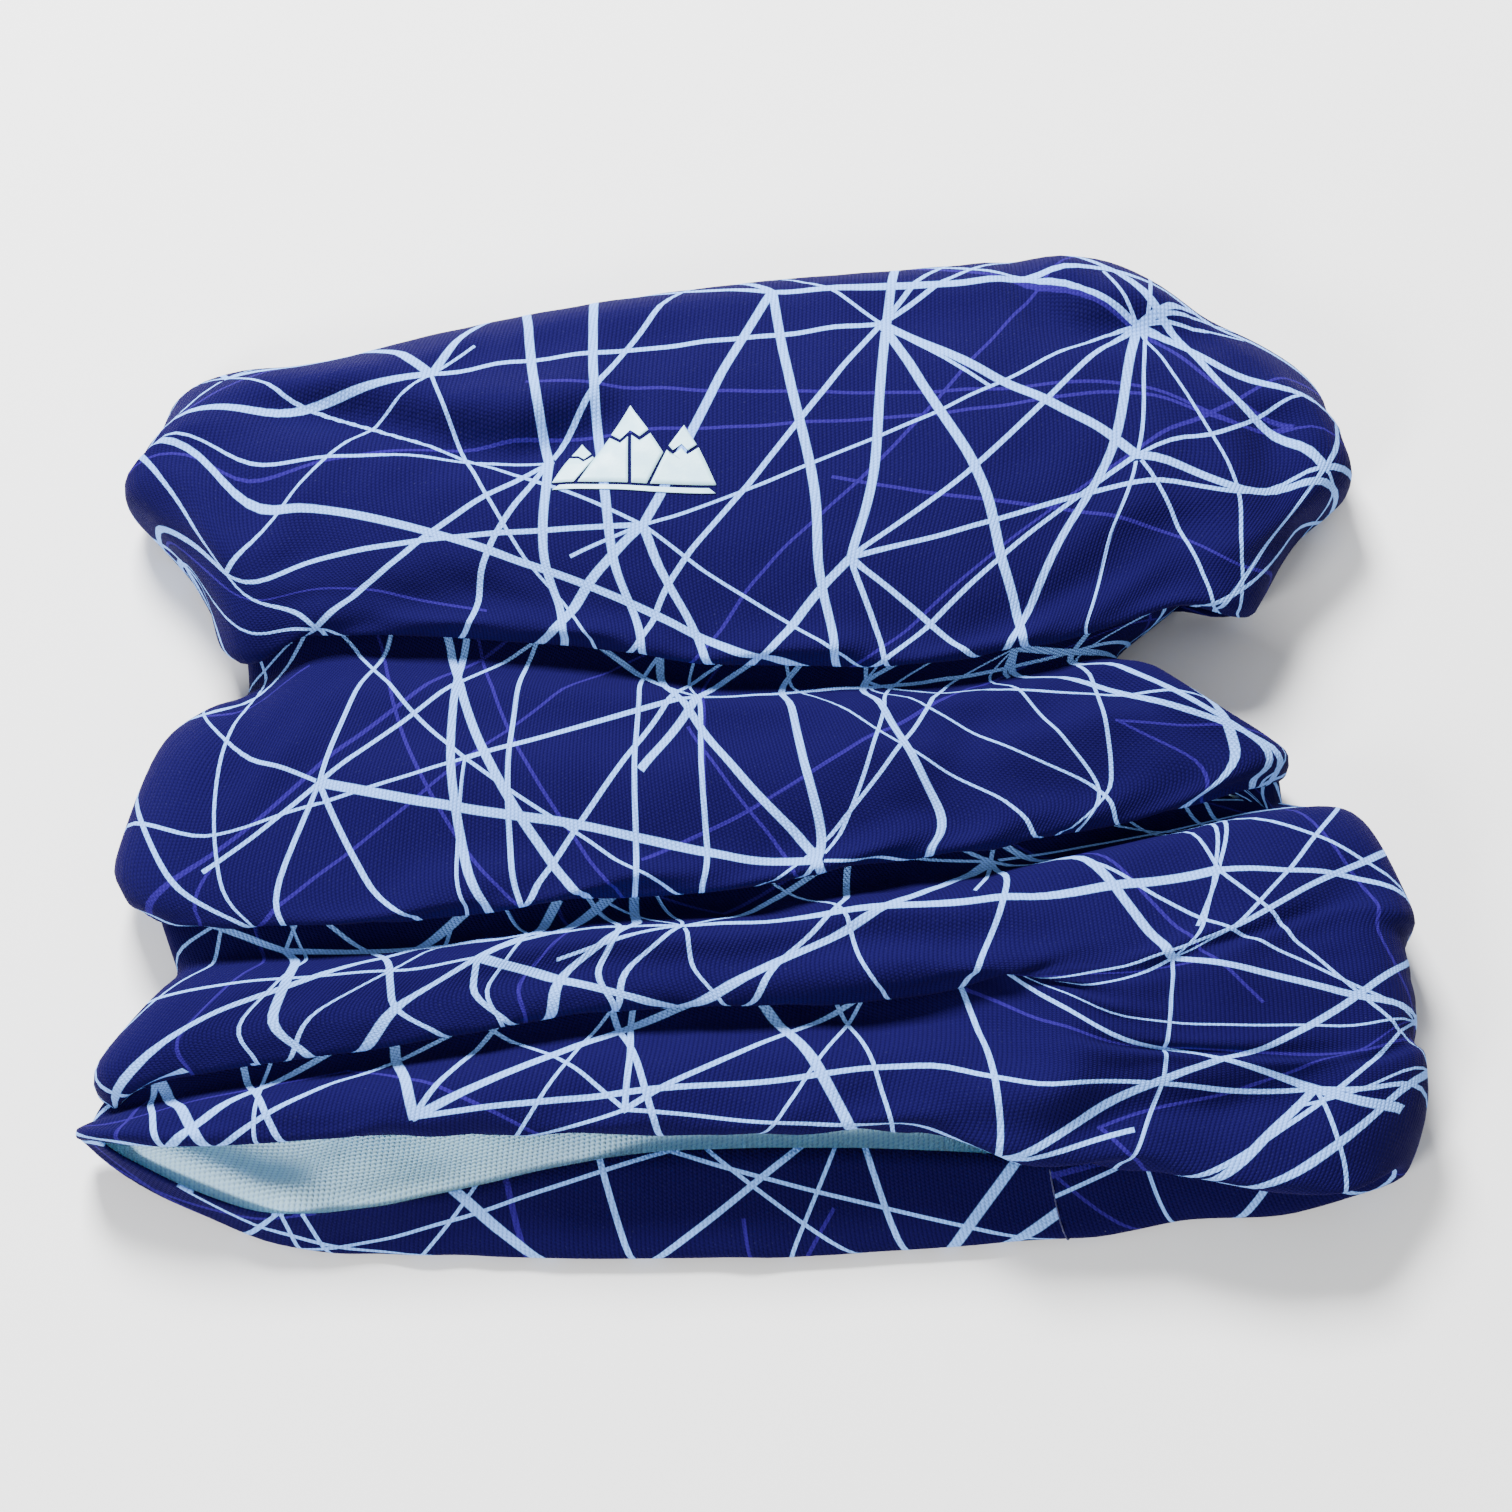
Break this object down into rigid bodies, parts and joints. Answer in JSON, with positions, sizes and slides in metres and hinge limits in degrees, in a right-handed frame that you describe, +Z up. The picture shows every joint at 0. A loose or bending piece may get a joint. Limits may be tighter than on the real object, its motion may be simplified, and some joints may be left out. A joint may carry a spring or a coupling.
{
  "type": "neck gaiter",
  "caption": "Pull-on tube of printed stretch jersey lying flat and gathered lengthwise into overlapping folds, with one lengthwise seam and a pressed film emblem.",
  "frame": {"origin": "centre of the gaiter's extent on the surface it lies on", "axes": "+Z up from the surface through the front; +Y along the tube towards the upper hem, which is nearer the emblem; +X across the tube to the wearer's left of the emblem as it is read"},
  "size_m": [0.2498, 0.2089, 0.0279],
  "materials": {
    "printed_jersey": "matt brushed jersey, deep indigo printed with pale crossing lines outside and left pale inside",
    "seam_jersey": "matt pale reverse of the jersey",
    "seam_thread": "soft matt textured polyester thread",
    "emblem_film": "smooth satin heat-applied film"
  },
  "bodies": {
    "root": {"fabric_tube": "printed_jersey", "seam_allowance": "seam_jersey", "seam_needle_thread": "seam_thread", "seam_looper_thread_upper": "seam_thread", "seam_looper_thread_edge": "seam_thread", "emblem_main_cap": "emblem_film", "emblem_main_left": "emblem_film", "emblem_main_right": "emblem_film", "emblem_left_cap": "emblem_film", "emblem_left_peak": "emblem_film", "emblem_right_cap": "emblem_film", "emblem_right_peak": "emblem_film", "emblem_foot": "emblem_film"}
  },
  "joints": []
}
